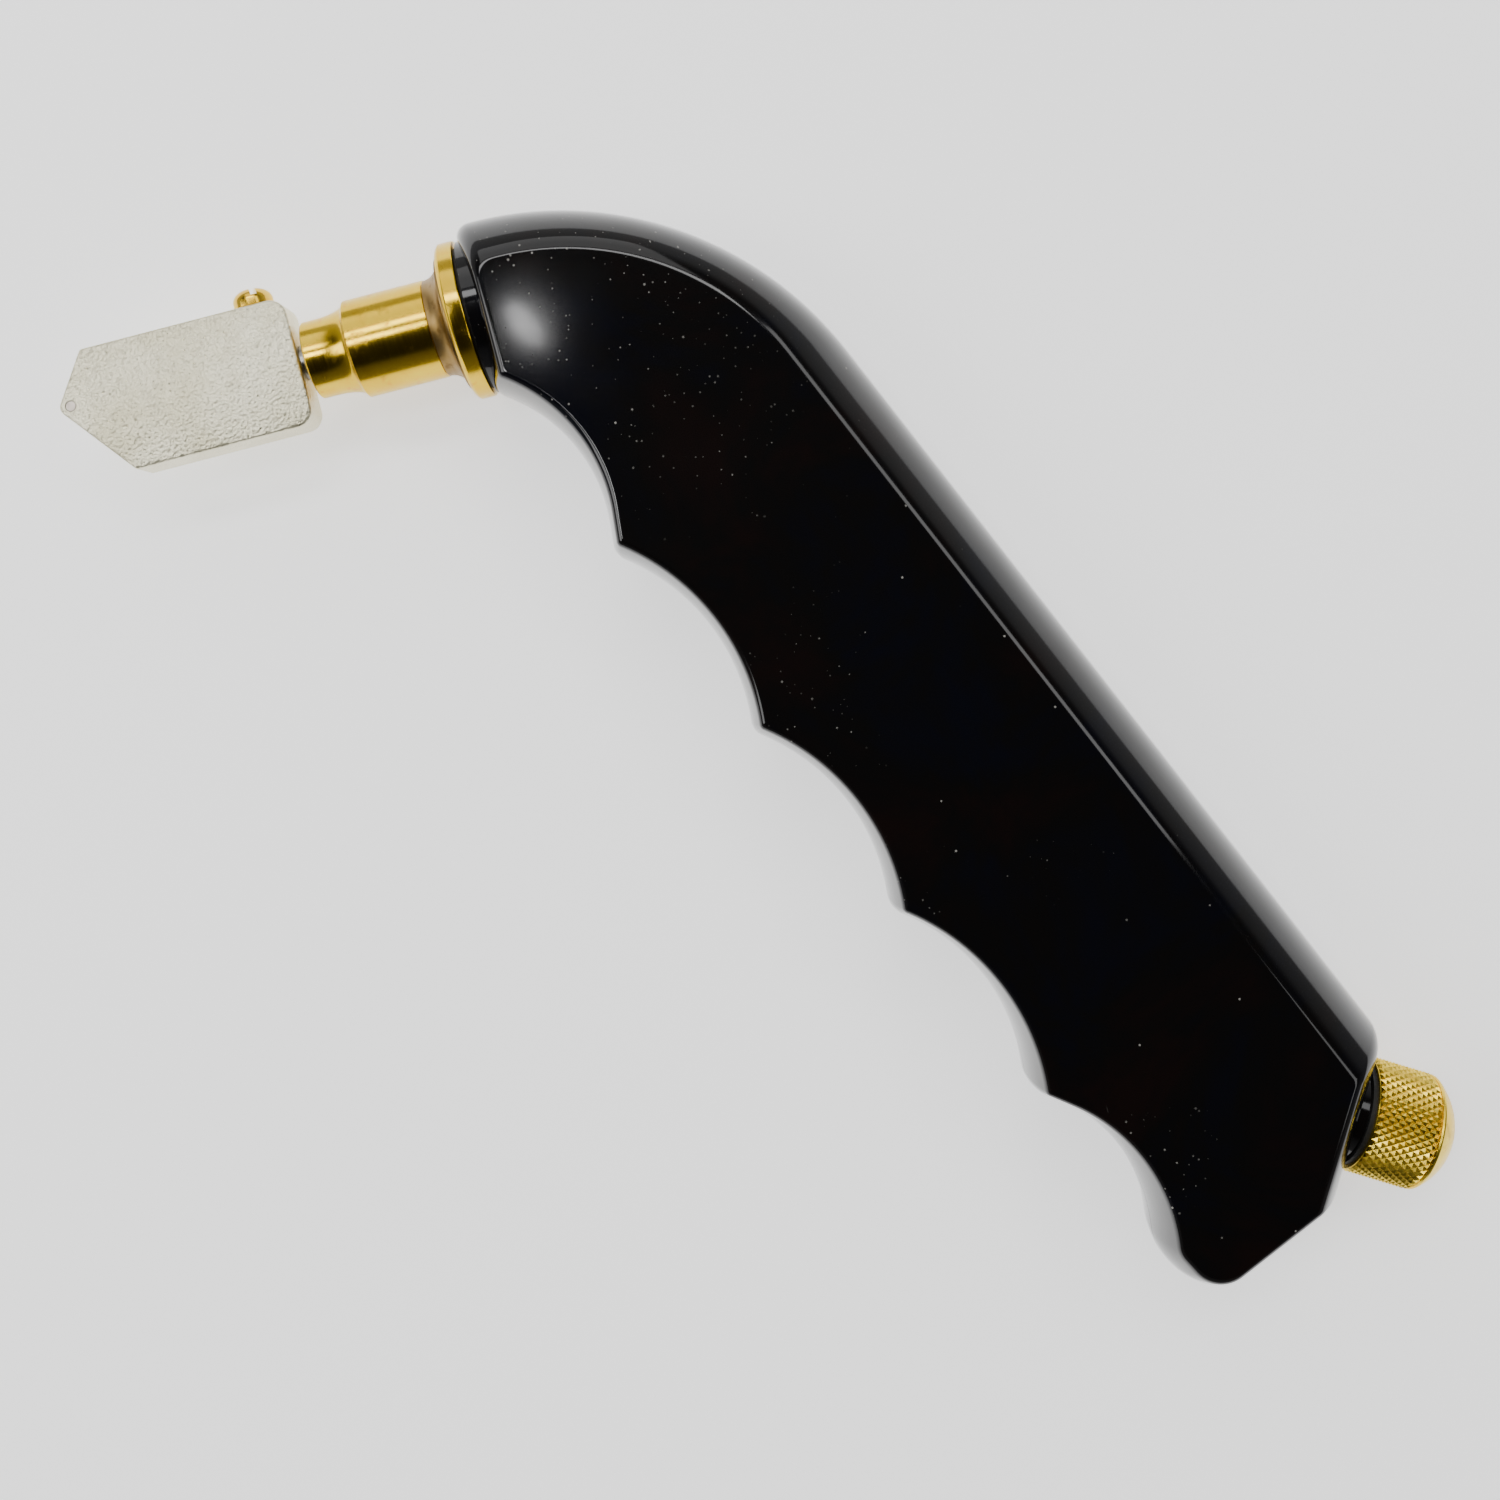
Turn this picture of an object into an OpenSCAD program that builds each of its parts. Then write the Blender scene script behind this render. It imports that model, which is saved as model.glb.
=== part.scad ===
// Pistol-grip glass cutter with an oil reservoir in the handle.
// It lies on the flat back face of its handle, at Z = 0. +X runs along the neck, from the
// cutting wheel to the handle. The origin is where the neck axis and the grip axis cross.

/* [Handle] */
// overall thickness of the handle
handle_thickness = 18; // [14:0.5:24]
// angle of the grip below the neck axis
grip_angle = 66.6; // [50:0.2:80]
// distance along the grip from one finger ridge to the next
finger_pitch = 23.33; // [20:0.1:27]
// control depth of each finger groove
groove_reach = 6.44; // [4:0.1:8]
// radius of each finger groove
groove_radius = 22; // [18:0.5:26]
// line of the finger ridges, across the grip
ridge_line = -16.36; // [-18:0.1:-14]
// line of the straight spine, across the grip
spine_line = 16; // [13:0.1:19]
// radius of the curve from the front of the handle to the spine
brow_radius = 38; // [30:0.5:42]
// height of the handle's front edge above the neck axis
front_top = 9.6; // [8.5:0.1:12]
// front face of the handle, along the neck axis
front_face = -13.5; // [-16:0.1:-12]
// end of the grip, along the grip axis
grip_end = 121.6; // [118:0.1:126]
// how far the crown falls back along the spine
spine_crown = 5.7; // [2:0.1:7]
// how far the crown falls back along the finger grooves
finger_crown = 1.5; // [0.5:0.1:2.5]
// how far the crown falls back at the bottom of the grip
end_crown = 2; // [1:0.1:3]
// how far the crown falls back along the cap's facet
facet_crown = 3.3; // [2:0.1:5]

/* [Reservoir] */
// wall left between the reservoir and the flat faces
reservoir_wall = 2.8; // [2:0.1:4]
// start of the reservoir, along the grip
reservoir_start = 5.5; // [5:0.5:20]
// end of the reservoir, along the grip
reservoir_end = 106; // [80:0.5:107]

/* [Neck] */
// radius of the neck's main cylinder
neck_radius = 5.18; // [4.8:0.01:5.6]
// radius of the slim front end of the neck
nose_radius = 4.1; // [3.8:0.05:4.5]
// radius of the neck's flange
flange_radius = 8.3; // [7:0.1:8.8]
// radius of the neck's threaded tail
tail_radius = 4.5; // [4:0.05:4.6]
// radius of the brass bush that the neck screws into
bush_radius = 6; // [5.2:0.1:7]

/* [Stem and spring] */
// radius of the stem where the neck guides it
stem_radius = 1.85; // [1.5:0.01:2]
// radius of the stem inside the head
pivot_radius = 1.7; // [1.4:0.01:1.8]
// radial clearance of the running fits
running_fit = 0.05; // [0.02:0.01:0.08]
// wire radius of the return spring
wire_radius = 0.3; // [0.2:0.02:0.4]
// number of turns of the return spring
spring_turns = 7; // [5:1:10]

/* [Head] */
// thickness of the head
head_thickness = 4.9; // [4.5:0.1:6]
// half width of the head
head_half_width = 6.8; // [6:0.1:8]
// radius of the cutting wheel
wheel_radius = 1.5; // [1.2:0.05:2]
// thickness of the cutting wheel
wheel_thickness = 0.8; // [0.6:0.05:1]
// radius of the wheel's axle
axle_radius = 0.55; // [0.4:0.01:0.7]

/* [Filler cap] */
// radius of the filler cap
cap_radius = 6.15; // [5.5:0.05:7]
// length of the cap's gripping band
cap_band = 6.9; // [5:0.1:9]
// height of the cap's dome
cap_dome = 3.2; // [2:0.1:4]
// direction of the cap's axis, measured from the neck axis
cap_angle = -31.5; // [-40:0.5:-20]

/* [Hidden] */
$fn = 64;
mid = handle_thickness / 2;
ca = cos(grip_angle);
sa = sin(grip_angle);
cap_base = [54.29, -103.89];
cap_dir = [cos(cap_angle), sin(cap_angle)];
facet_dir = [-sin(cap_angle), cos(cap_angle)];
head_rear = -32.4;
screw_x = -36;
axle_x = -56.5;
axle_y = 1.25;
nose_front = -31.5;
shoulder_x = -26;
tail_end = -5;
bush_end = -4.5;
chamber_radius = 3.2;
slot_width = wheel_thickness + 0.1;
seat_rise = 0.04;
glue_gap = 0.03;

// a point from its distances along and across the grip
function grip(g, h) = [g * ca + h * sa, -g * sa + h * ca];
// the point where the cap's facet meets a line across the grip
function facet_at(t) = cap_base - seat_rise * cap_dir + t * facet_dir;
function facet_to_end() = (cap_base[0] * ca - cap_base[1] * sa - grip_end)
    / (facet_dir[1] * sa - facet_dir[0] * ca);
function facet_to_spine() = (spine_line - cap_base[0] * sa - cap_base[1] * ca)
    / (facet_dir[0] * sa + facet_dir[1] * ca);
// the x at which the spine line is at a given height
function spine_x(y) = (spine_line - y * ca) / sa;

// each corner: [point, radius at mid-thickness, radius at the crease, steps, crown of the next edge]
function ridge(n) = [grip(n * finger_pitch, ridge_line), 1.8, 0.5, 4, finger_crown];
function groove(n) = [grip((n - 0.5) * finger_pitch, ridge_line + groove_reach),
    groove_radius, groove_radius + 1.4, 10, finger_crown];
corners = [
    [[front_face + seat_rise, front_top], 1.5, 0.8, 4, 1.7],
    [[front_face + seat_rise, -8.2], 1, 0.6, 4, finger_crown],
    [grip(finger_pitch / 2, ridge_line + groove_reach), groove_radius - 4.2, groove_radius - 3.6,
        10, finger_crown],
    ridge(1),
    groove(2), ridge(2),
    groove(3), ridge(3),
    groove(4), ridge(4),
    [grip(104.6, ridge_line + 6.2), 18, 18.6, 10, finger_crown],
    [grip(115.2, ridge_line), 5, 3, 4, 2],
    [grip(grip_end, ridge_line + 0.5), 5.2, 3.2, 7, end_crown],
    [facet_at(facet_to_end()), 3, 1, 4, facet_crown],
    [facet_at(facet_to_spine()), 3.5, 1, 5, spine_crown],
    [[spine_x(front_top), front_top], brow_radius, brow_radius - 9, 24, spine_crown]
];

function unit(v) = v / norm(v);
function turn_left(v) = [-v[1], v[0]];
function cross2(a, b) = a[0] * b[1] - a[1] * b[0];
// fall of a circular crown of sagitta d, at distance t from mid-thickness
function crown_fall(d, t) = let (r = (mid * mid + d * d) / (2 * d)) r - sqrt(r * r - t * t);
// corner i after each edge has moved inwards
function moved(c, i, t, extra) =
    let (n = len(c), a = c[(i + n - 1) % n], b = c[i], e = c[(i + 1) % n])
    let (d1 = unit(b[0] - a[0]), d2 = unit(e[0] - b[0]))
    let (p1 = b[0] + turn_left(d1) * (crown_fall(a[4], t) + extra))
    let (p2 = b[0] + turn_left(d2) * (crown_fall(b[4], t) + extra))
    p1 + d1 * cross2(p2 - p1, d2) / cross2(d1, d2);
// points of the arc that rounds the corner b, between a and c
function arc(a, b, c, r, steps) =
    let (u = unit(a - b), v = unit(c - b), half = acos(u * v) / 2)
    let (centre = b + unit(u + v) * r / sin(half), sweep = 180 - 2 * half)
    let (s = b + u * r / tan(half) - centre, e = b + v * r / tan(half) - centre)
    [for (k = [0:steps]) centre + (s * sin(sweep * (1 - k / steps))
        + e * sin(sweep * k / steps)) / sin(sweep)];
// outline of a list of corners at distance t from mid-thickness, moved in by extra
function outline(c, t, extra) =
    let (n = len(c), p = [for (i = [0:n - 1]) moved(c, i, t, extra)])
    [for (i = [0:n - 1]) each arc(p[(i + n - 1) % n], p[i], p[(i + 1) % n],
        c[i][1] + (c[i][2] - c[i][1]) * t * t / (mid * mid), c[i][3])];
// rounded outline of a plain list of [point, radius, steps]
function rounded(c) = let (n = len(c))
    [for (i = [0:n - 1]) each arc(c[(i + n - 1) % n][0], c[i][0], c[(i + 1) % n][0],
        c[i][1], c[i][2])];
function lift(p, z) = [for (q = p) [q[0], q[1], z]];

// closed solid through a stack of outlines that share their number of points
module skin(stack) {
    n = len(stack[0]);
    m = len(stack);
    sides = [for (k = [0:m - 2]) for (i = [0:n - 1]) let (j = (i + 1) % n)
        each [[k * n + i, k * n + n + i, k * n + n + j], [k * n + i, k * n + n + j, k * n + j]]];
    floor_face = [for (i = [0:n - 1]) i];
    top_face = [for (i = [0:n - 1]) m * n - 1 - i];
    polyhedron(points = [for (s = stack) each s],
        faces = concat([floor_face], sides, [top_face]), convexity = 10);
}

// solid of revolution about a line parallel to X through the neck axis; profile is [x, radius]
module turned(profile) {
    translate([0, 0, mid])
        rotate([0, 90, 0])
            rotate_extrude()
                polygon([for (p = profile) [p[1], p[0]]]);
}

module neck_bore(x0, x1, r) {
    translate([x0, 0, mid])
        rotate([0, 90, 0])
            cylinder(r = r, h = x1 - x0);
}

// moves to the cap's seat with +Z along the cap's axis
module on_cap_axis() {
    translate([cap_base[0], cap_base[1], mid])
        rotate([0, 90, cap_angle])
            children();
}

// upper half of the handle's skin, from mid-thickness to the flat face
crown_steps = [0, 2, 3.6, 5, 6.2, 7.2, 8, 8.6];
module half_block() {
    skin(concat(
        [for (t = crown_steps) lift(outline(corners, t, 0), mid + t)],
        [lift(outline(corners, mid - 0.16, 0.1), 2 * mid - 0.16)],
        [lift(outline(corners, mid, 0.4), 2 * mid)]));
}

// half of the reservoir
module reservoir_half() {
    top = mid - reservoir_wall;
    lo = ridge_line + 7.1;
    hi = spine_line - 4.5;
    function ring(d, r) = rounded([
        [grip(reservoir_start + d, lo + d), r, 5],
        [grip(reservoir_end - d, lo + d), r, 5],
        [grip(reservoir_end - d, hi - d), r, 5],
        [grip(reservoir_start + d, hi - d), r, 5]]);
    skin([
        lift(ring(0, 6), mid - 0.01),
        lift(ring(0, 6), mid + top - 2),
        lift(ring(0.6, 5.4), mid + top - 0.6),
        lift(ring(2, 4), mid + top)]);
}

// pegs that line up the two halves: [along, across, radius]
pegs = [
    [finger_pitch, -12.6, 1.3],
    [finger_pitch * 2, -12.6, 1.3],
    [finger_pitch * 3, -12.6, 1.3],
    [finger_pitch * 4, -12.6, 1.3],
    [114.5, -10, 1.3],
    [36, 13.75, 0.9],
    [66, 13.75, 0.9],
    [96, 13.75, 0.9]
];

// pegs with a tapered tip, or their sockets when they are grown a little
module peg_row(grow, depth) {
    for (p = pegs)
        translate([grip(p[0], p[1])[0], grip(p[0], p[1])[1], mid - depth])
            hull() {
                translate([0, 0, 0.5])
                    cylinder(r = p[2] + grow, h = depth - 0.3, $fn = 32);
                cylinder(r = p[2] + grow - 0.35, h = depth, $fn = 32);
            }
}

module half_shell() {
    difference() {
        union() {
            half_block();
            intersection() {
                on_cap_axis()
                    translate([0, 0, -4])
                        cylinder(r = 5.9, h = 4);
                translate([40, -120, mid])
                    cube([30, 30, mid]);
            }
            intersection() {
                neck_bore(front_face, front_face + 3, 8.1);
                translate([front_face, -10, mid])
                    cube([3, 20, mid]);
            }
        }
        reservoir_half();
        neck_bore(front_face - 1, bush_end, bush_radius + glue_gap);
        neck_bore(bush_end - 1, 8, 3.5);
        on_cap_axis()
            translate([0, 0, -9])
                cylinder(r = 5 + glue_gap, h = 10);
        on_cap_axis()
            translate([0, 0, -17])
                cylinder(r = 3.5, h = 9);
    }
}

module handle_left_shell() {
    color([0.03, 0.03, 0.035])
        union() {
            half_shell();
            peg_row(0, 3);
        }
}

module handle_right_shell() {
    color([0.03, 0.03, 0.035])
        difference() {
            translate([0, 0, 2 * mid])
                mirror([0, 0, 1])
                    half_shell();
            peg_row(0.04, 3.2);
        }
}

module front_insert() {
    color([0.78, 0.6, 0.3])
        difference() {
            neck_bore(front_face, bush_end, bush_radius);
            neck_bore(front_face - 1, bush_end + 1, tail_radius + 0.05);
        }
}

// concave quarter curve from [x0, r0] to [x1, r1], tangent to the axis at its start
function flare(x0, r0, x1, r1) = [for (k = [1:7]) let (w = 90 * k / 8)
    [x0 + (x1 - x0) * sin(w), r0 + (r1 - r0) * (1 - cos(w))]];

module neck() {
    color([0.78, 0.6, 0.3])
        difference() {
            turned(concat(
                [[nose_front, 0], [nose_front, nose_radius - 0.2], [nose_front + 0.2, nose_radius]],
                [[-30.1, nose_radius]],
                flare(-30.1, nose_radius, -26.7, neck_radius),
                [[-26.7, neck_radius], [-18, neck_radius]],
                flare(-18, neck_radius, -16, 7),
                [[-16, 7], [-15.7, 7], [-15.7, flange_radius - 0.35]],
                [[-15.35, flange_radius], [-14, flange_radius], [-13.8, flange_radius - 0.2]],
                [[-13.8, tail_radius], [tail_end - 0.5, tail_radius]],
                [[tail_end, tail_radius - 0.5], [tail_end, 0]]));
            neck_bore(nose_front - 1, shoulder_x + 1, stem_radius + running_fit);
            neck_bore(-29.6, -28.4, 2.9);
            neck_bore(shoulder_x, tail_end + 1, chamber_radius);
        }
}

module neck_gasket() {
    color([0.1, 0.1, 0.1])
        difference() {
            neck_bore(-13.8, front_face, 7.5);
            neck_bore(-15, front_face + 1, tail_radius + 0.1);
        }
}

module ring_seal(x, centre_radius, section_radius) {
    translate([x, 0, mid])
        rotate([0, 90, 0])
            rotate_extrude()
                translate([centre_radius, 0])
                    circle(r = section_radius, $fn = 32);
}

module guide_seal() {
    color([0.12, 0.12, 0.12])
        ring_seal(-29, 2.38, 0.5);
}

module socket_seal() {
    color([0.12, 0.12, 0.12])
        ring_seal(-38.18, 1.46, 0.27);
}

module stem() {
    color([0.6, 0.61, 0.63])
        difference() {
            turned([
                [-39.6, 0], [-39.6, pivot_radius - 0.2], [-39.4, pivot_radius],
                [-38.5, pivot_radius], [-38.5, 1.18], [-37.86, 1.18], [-37.86, pivot_radius],
                [-37.05, pivot_radius], [-37.05, 1.2], [-34.95, 1.2], [-34.95, pivot_radius],
                [head_rear + 0.05, pivot_radius], [head_rear + 0.05, stem_radius],
                [shoulder_x + 0.02, stem_radius], [shoulder_x + 0.02, chamber_radius - 0.1],
                [-24.5, chamber_radius - 0.1], [-24.5, 1.6], [-15.2, 1.6], [-15, 1.4], [-15, 0]]);
            neck_bore(-41, -14, 0.7);
        }
}

module front_washer() {
    color([0.7, 0.71, 0.72])
        difference() {
            neck_bore(-24.5, -24, chamber_radius - 0.15);
            neck_bore(-25, -23, 1.65);
        }
}

module rear_washer() {
    color([0.7, 0.71, 0.72])
        difference() {
            neck_bore(-10.2, -9.7, chamber_radius - 0.05);
            neck_bore(-11, -9, 1.7);
        }
}

module return_spring() {
    sides = 8;
    steps = spring_turns * 18;
    coil = 2.5;
    length = 13.8 - 2 * wire_radius;
    function at(k, j) = let (w = k * 360 / 18, v = j * 360 / sides, r = coil + wire_radius * cos(v))
        [-24 + wire_radius + length * k / steps + wire_radius * sin(v), r * cos(w), mid + r * sin(w)];
    side_faces = [for (k = [0:steps - 1]) for (j = [0:sides - 1]) let (i = (j + 1) % sides)
        each [[k * sides + j, k * sides + sides + i, k * sides + sides + j],
            [k * sides + j, k * sides + i, k * sides + sides + i]]];
    start_face = [for (j = [0:sides - 1]) sides - 1 - j];
    end_face = [for (j = [0:sides - 1]) steps * sides + j];
    color([0.75, 0.76, 0.78])
        polyhedron(points = [for (k = [0:steps]) for (j = [0:sides - 1]) at(k, j)],
            faces = concat([start_face], side_faces, [end_face]), convexity = 12);
}

module spring_retainer() {
    color([0.78, 0.6, 0.3])
        difference() {
            neck_bore(-9.7, -5.2, chamber_radius);
            neck_bore(-11, -4, 1.5);
            translate([-6.4, -5, mid - 0.5])
                cube([3, 10, 1]);
        }
}

module wick() {
    color([0.88, 0.86, 0.8])
        neck_bore(-12, 8, 1.45);
}

// side faces of the head, with the bevels meeting at the rounded tip
head_points = [
    [[head_rear, head_half_width], 1.8, 5],
    [[-54.2, head_half_width], 0.5, 3],
    [[-57.95, 1.2], 1, 6],
    [[-51.6, -head_half_width], 0.5, 3],
    [[head_rear, -head_half_width], 1.8, 5]
];
function shrunk(c, d) = let (n = len(c)) [for (i = [0:n - 1])
    let (d1 = unit(c[i][0] - c[(i + n - 1) % n][0]), d2 = unit(c[(i + 1) % n][0] - c[i][0]))
    let (p1 = c[i][0] + turn_left(d1) * d, p2 = c[i][0] + turn_left(d2) * d)
    [p1 + d1 * cross2(p2 - p1, d2) / cross2(d1, d2), c[i][1] - d, c[i][2]]];

module head_body() {
    half = head_thickness / 2;
    color([0.72, 0.72, 0.7])
        difference() {
            skin([
                lift(rounded(shrunk(head_points, 0.25)), mid - half),
                lift(rounded(head_points), mid - half + 0.25),
                lift(rounded(head_points), mid + half - 0.25),
                lift(rounded(shrunk(head_points, 0.25)), mid + half)]);
            neck_bore(-40, head_rear + 1, pivot_radius + running_fit);
            neck_bore(-55.5, -39, 0.6);
            translate([screw_x, 10, mid])
                rotate([90, 0, 0])
                    cylinder(r = 1.3, h = 9);
            translate([-60, -10, mid - slot_width / 2])
                cube([60 + axle_x + wheel_radius + 0.3, 20, slot_width]);
            translate([axle_x, axle_y, 0])
                cylinder(r = axle_radius, h = 2 * mid);
        }
}

module wheel_axle() {
    color([0.5, 0.5, 0.52])
        translate([axle_x, axle_y, mid - head_thickness / 2])
            cylinder(r = axle_radius, h = head_thickness);
}

module cutting_wheel() {
    half = wheel_thickness / 2;
    color([0.45, 0.46, 0.48])
        translate([axle_x, axle_y, mid])
            difference() {
                rotate_extrude()
                    polygon([[0, -half], [wheel_radius - 0.2, -half], [wheel_radius, 0],
                        [wheel_radius - 0.2, half], [0, half]]);
                translate([0, 0, -1])
                    cylinder(r = axle_radius + 0.03, h = 2);
            }
}

module swivel_screw() {
    rim = 0.9;
    dome = [for (k = [0:7]) [2.1 * cos(80 * k / 7), rim + 1.2 * sin(80 * k / 7)]];
    color([0.78, 0.6, 0.3])
        translate([screw_x, head_half_width + 0.02, mid])
            rotate([-90, 0, 0])
                difference() {
                    rotate_extrude()
                        polygon(concat([[0, -5.55], [0.75, -5.55], [0.95, -5.35], [0.95, -4.6]],
                            [[1.25, -4.6], [1.25, 0], [2.1, 0]], dome, [[0, rim + 1.2]]));
                    translate([-0.35, -3, 0.95])
                        cube([0.7, 6, 3]);
                }
}

module filler_insert() {
    color([0.78, 0.6, 0.3])
        on_cap_axis()
            translate([0, 0, -9])
                difference() {
                    cylinder(r = 5, h = 9);
                    translate([0, 0, -1])
                        cylinder(r = 3.55, h = 11);
                }
}

module cap_gasket() {
    color([0.1, 0.1, 0.1])
        on_cap_axis()
            translate([0, 0, 0.02])
                difference() {
                    cylinder(r = 5.5, h = 0.5);
                    translate([0, 0, -1])
                        cylinder(r = 3.6, h = 3);
                }
}

module filler_cap() {
    base = 0.54;
    top = base + cap_band;
    ball = (cap_radius * cap_radius + cap_dome * cap_dome) / (2 * cap_dome);
    rim_angle = asin(cap_radius / ball);
    dome = [for (k = [0:9]) let (w = rim_angle * (1 - k / 10))
        [ball * sin(w), top + ball * cos(w) - ball + cap_dome]];
    color([0.78, 0.6, 0.3])
        on_cap_axis()
            difference() {
                rotate_extrude()
                    polygon(concat([[0, -6], [3, -6], [3.5, -5.5], [3.5, base], [cap_radius - 0.3, base]],
                        [[cap_radius, base + 0.3]],
                        dome, [[0, top + cap_dome]]));
                translate([0, 0, -7])
                    cylinder(r = 2.2, h = 6);
            }
}

handle_left_shell();
handle_right_shell();
front_insert();
neck();
neck_gasket();
guide_seal();
spring_retainer();
rear_washer();
wick();
filler_insert();
stem();
front_washer();
socket_seal();
return_spring();
head_body();
wheel_axle();
swivel_screw();
cutting_wheel();
cap_gasket();
filler_cap();
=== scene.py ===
import math
import bpy
import bmesh
from mathutils import Matrix, Vector


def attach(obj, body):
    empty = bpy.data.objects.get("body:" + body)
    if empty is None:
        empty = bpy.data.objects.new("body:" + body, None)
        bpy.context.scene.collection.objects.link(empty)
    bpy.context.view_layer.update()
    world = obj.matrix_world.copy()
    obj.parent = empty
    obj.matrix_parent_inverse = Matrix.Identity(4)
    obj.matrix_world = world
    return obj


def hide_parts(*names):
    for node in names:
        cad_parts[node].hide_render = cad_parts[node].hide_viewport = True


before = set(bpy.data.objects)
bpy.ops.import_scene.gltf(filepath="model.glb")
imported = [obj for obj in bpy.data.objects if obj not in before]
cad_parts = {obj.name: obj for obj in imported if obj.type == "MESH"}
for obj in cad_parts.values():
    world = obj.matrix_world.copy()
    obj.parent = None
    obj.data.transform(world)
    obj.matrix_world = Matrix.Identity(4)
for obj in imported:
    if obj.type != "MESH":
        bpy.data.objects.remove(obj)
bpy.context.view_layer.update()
mm = 0.001
midZ = 9.0  # the neck axis and the seam between the two handle shells
print("frame loaded:", len(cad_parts), "nodes")


class Wire:
    # wraps a socket, so that shader maths reads as plain expressions
    def __init__(self, shader, socket):
        self.shader = shader
        self.socket = socket

    def math(self, operation, other):
        return self.shader.node("ShaderNodeMath", {"operation": operation}, {0: self, 1: other})

    def __add__(self, other):
        return self.math("ADD", other)

    def __mul__(self, other):
        return self.math("MULTIPLY", other)


class Shader:
    def __init__(self, name, settings):
        self.material = bpy.data.materials.new(name)
        self.material.use_nodes = True
        self.tree = self.material.node_tree
        self.surface = next(n for n in self.tree.nodes if n.type == "BSDF_PRINCIPLED")
        self.material.diffuse_color = (*settings["Base Color"][:3], 1)
        for key, value in settings.items():
            self.surface.inputs[key].default_value = value

    def node(self, kind, settings=None, inputs=None, out=0):
        made = self.tree.nodes.new(kind)
        for key, value in (settings or {}).items():
            if key == "stops":
                ramp = made.color_ramp
                while len(ramp.elements) < len(value):
                    ramp.elements.new(0.5)
                for element, (place, colour) in zip(ramp.elements, value):
                    element.position = place
                    element.color = (*colour, 1)
            else:
                setattr(made, key, value)
        for key, value in (inputs or {}).items():
            if isinstance(value, Wire):
                self.tree.links.new(value.socket, made.inputs[key])
            else:
                made.inputs[key].default_value = value
        return Wire(self, made.outputs[out])

    def place(self, scale=(1, 1, 1), turn=(0, 0, 0)):
        spot = self.node("ShaderNodeTexCoord", out="Object")
        return self.node("ShaderNodeMapping", {}, {"Vector": spot, "Rotation": turn, "Scale": scale})

    def noise(self, where, scale, detail=3.0, rough=0.5, twist=0.0):
        return self.node("ShaderNodeTexNoise", {}, {"Vector": where, "Scale": scale, "Detail": detail,
                                                    "Roughness": rough, "Distortion": twist})

    def cells(self, where, scale, feature="F1"):
        return self.node("ShaderNodeTexVoronoi", {"feature": feature}, {"Vector": where, "Scale": scale})

    def ramp(self, value, stops):
        return self.node("ShaderNodeValToRGB", {"stops": stops}, {"Fac": value})

    def level(self, value, low, high, outLow=0.0, outHigh=1.0):
        return self.node("ShaderNodeMapRange", {"clamp": True}, {
            "Value": value, "From Min": low, "From Max": high, "To Min": outLow, "To Max": outHigh})

    def mix(self, factor, first, second):
        made = self.tree.nodes.new("ShaderNodeMix")
        made.data_type = "RGBA"
        for key, value in ((0, factor), (6, first), (7, second)):
            if isinstance(value, Wire):
                self.tree.links.new(value.socket, made.inputs[key])
            else:
                made.inputs[key].default_value = value
        return Wire(self, made.outputs[2])

    def bump(self, height, distance, strength):
        return self.node("ShaderNodeBump", {}, {"Height": height, "Distance": distance, "Strength": strength})

    def larger(self, first, second):
        return self.node("ShaderNodeMath", {"operation": "MAXIMUM"}, {0: first, 1: second})

    def feed(self, key, value):
        self.tree.links.new(value.socket, self.surface.inputs[key])


def grey(level, warm):
    return (level * (1 + warm), level, level * (1 - warm), 1)


def makeGlossPlastic():
    s = Shader("glossPlastic", {"Base Color": (0.0035, 0.0033, 0.0038, 1), "Roughness": 0.09,
                                "IOR": 1.43, "Coat Roughness": 0.05, "Coat IOR": 1.4})
    where = s.place()
    clouds = s.noise(where, 55, 4, 0.6)
    tint = s.ramp(s.noise(where, 60, 4, 0.65, 0.5), [
        (0.35, (0.0035, 0.0038, 0.007)),
        (0.5, (0.0045, 0.004, 0.004)),
        (0.65, (0.0075, 0.0042, 0.0038)),
    ])
    # dust: flecks of mixed size, thicker in patches and around the front of the flat side
    front = (-0.004, -0.004, 0.018)
    gap = s.node("ShaderNodeVectorMath", {"operation": "DISTANCE"}, {0: where, 1: front}, "Value")
    patches = s.larger(s.level(clouds, 0.56, 0.66), s.level(gap, 0.026, 0.005))
    grit = s.cells(where, 1300) + s.noise(where, 800, 2) * 0.5
    dust = s.level(grit, 0.36, 0.26) * patches
    fleck = s.level(s.cells(where, 330), 0.045, 0.025) * s.level(s.noise(where, 90, 2), 0.45, 0.52)
    streaky = s.place((1, 0.16, 1), (0, 0, math.radians(24)))
    hair = s.level(s.cells(streaky, 420), 0.05, 0.02) * s.level(s.noise(where, 70, 2), 0.5, 0.58)
    marks = s.larger(dust * 0.8, s.larger(fleck, hair * 0.6))
    s.feed("Base Color", s.mix(marks, tint, (0.34, 0.33, 0.3, 1)))
    s.feed("Roughness", s.level(clouds, 0.3, 0.75, 0.06, 0.13) + marks * 0.35)
    s.feed("Coat Weight", s.level(clouds, 0.3, 0.7, 0.35, 0.15))
    wave = s.noise(where, 45, 1, 0.4)
    s.feed("Normal", s.bump(wave + marks * 0.05, 0.00004, 0.5))
    return s.material


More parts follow.
